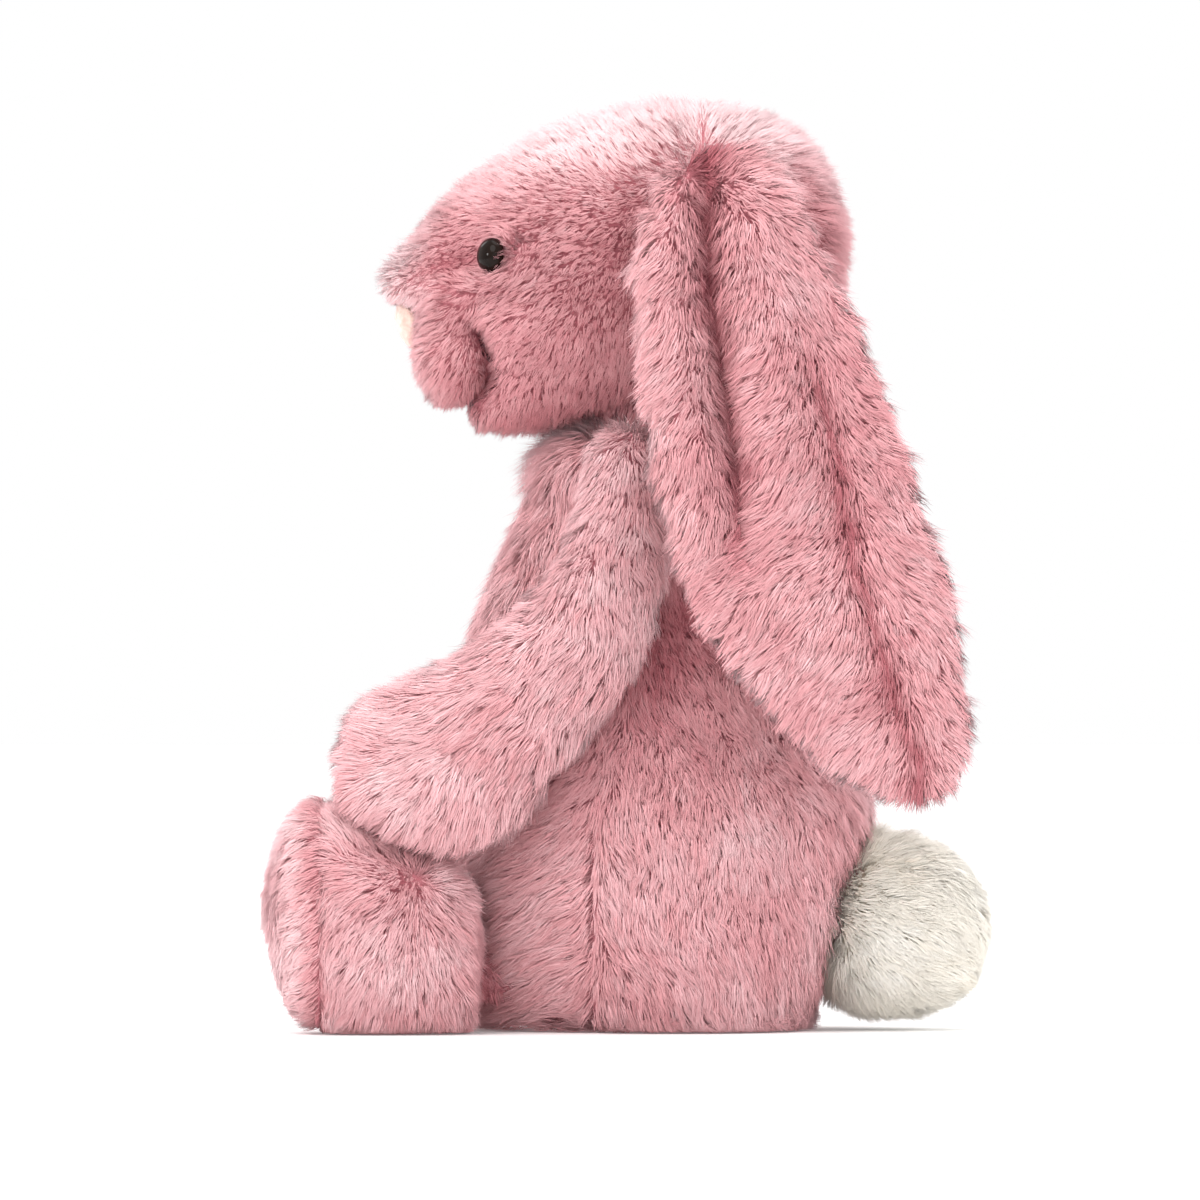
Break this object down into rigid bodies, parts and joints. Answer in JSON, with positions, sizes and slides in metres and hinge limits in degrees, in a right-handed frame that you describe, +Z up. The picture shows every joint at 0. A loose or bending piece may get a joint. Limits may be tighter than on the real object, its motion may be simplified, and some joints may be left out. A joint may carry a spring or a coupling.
{
  "type": "stuffed bunny rabbit",
  "caption": "Seated plush bunny with long drooping lop ears, domed bead eyes, pale nose pad, stuffed arms and upright feet, oval sole panels and a fluffy pompom tail.",
  "frame": {"origin": "centre of the whole toy's footprint, on the surface it sits on", "axes": "+Z up, the face looks along -Y, the toy's left side is +X"},
  "size_m": [0.1304, 0.178, 0.232],
  "materials": {
    "rose_plush": "matte",
    "rose_plush_ear_lining": "matte",
    "rose_sole_plush": "matte",
    "cream_pompom_plush": "matte",
    "fibre_fill": "matte",
    "calico": "matte",
    "pellet_plastic": "satin",
    "woven_label": "satin",
    "sewing_thread": "matte",
    "eye_plastic": "gloss",
    "washer_plastic": "matte",
    "nose_velour": "matte"
  },
  "bodies": {
    "torso": {"torso_cover": "rose_plush", "torso_stuffing": "fibre_fill", "bean_bag_pouch": "calico", "bean_pellets": "pellet_plastic", "care_label": "woven_label"},
    "neck": {"neck_stuffing": "fibre_fill", "neck_thread": "sewing_thread"},
    "head": {"head_cover": "rose_plush", "head_stuffing": "fibre_fill", "left_eye": "eye_plastic", "right_eye": "eye_plastic", "left_eye_washer": "washer_plastic", "right_eye_washer": "washer_plastic", "nose_pad": "nose_velour", "mouth_thread": "sewing_thread"},
    "left_ear": {"left_ear_outer": "rose_plush", "left_ear_inner": "rose_plush_ear_lining"},
    "right_ear": {"right_ear_outer": "rose_plush", "right_ear_inner": "rose_plush_ear_lining"},
    "left_arm": {"left_arm_cover": "rose_plush", "left_arm_stuffing": "fibre_fill"},
    "right_arm": {"right_arm_cover": "rose_plush", "right_arm_stuffing": "fibre_fill"},
    "left_leg": {"left_leg_cover": "rose_plush", "left_leg_stuffing": "fibre_fill", "left_sole_panel": "rose_sole_plush"},
    "right_leg": {"right_leg_cover": "rose_plush", "right_leg_stuffing": "fibre_fill", "right_sole_panel": "rose_sole_plush"},
    "tail": {"tail_cover": "cream_pompom_plush", "tail_stuffing": "fibre_fill"}
  },
  "joints": [
    {"name": "head_turn", "type": "hinge", "parent": "torso", "child": "neck", "pos_m": [0, 0.004, 0.152], "axis": [0, 0, 1], "range_deg": [-15, 15]},
    {"name": "head_nod", "type": "hinge", "parent": "neck", "child": "head", "pos_m": [0, 0.004, 0.152], "axis": [1, 0, 0], "range_deg": [-15, 15]},
    {"name": "left_ear_lift", "type": "hinge", "parent": "head", "child": "left_ear", "pos_m": [0.0325, 0.024, 0.2195], "axis": [0, -1, 0], "range_deg": [0, 100]},
    {"name": "right_ear_lift", "type": "hinge", "parent": "head", "child": "right_ear", "pos_m": [-0.0325, 0.024, 0.2195], "axis": [0, 1, 0], "range_deg": [0, 100]},
    {"name": "left_arm_swing", "type": "hinge", "parent": "torso", "child": "left_arm", "pos_m": [0.03, 0, 0.145], "axis": [-0.9063, -0.4226, 0], "range_deg": [0, 70]},
    {"name": "right_arm_swing", "type": "hinge", "parent": "torso", "child": "right_arm", "pos_m": [-0.03, 0, 0.145], "axis": [-0.9063, 0.4226, 0], "range_deg": [0, 70]},
    {"name": "left_leg_swing", "type": "hinge", "parent": "torso", "child": "left_leg", "pos_m": [0.028, -0.029, 0.0165], "axis": [1, 0, 0], "range_deg": [0, 45]},
    {"name": "right_leg_swing", "type": "hinge", "parent": "torso", "child": "right_leg", "pos_m": [-0.028, -0.029, 0.0165], "axis": [1, 0, 0], "range_deg": [0, 45]},
    {"name": "tail_wag", "type": "hinge", "parent": "torso", "child": "tail", "pos_m": [0, 0.0535, 0.0275], "axis": [0, 0, 1], "range_deg": [-8, 8], "stiffness_Nm_per_rad": 0.02}
  ]
}
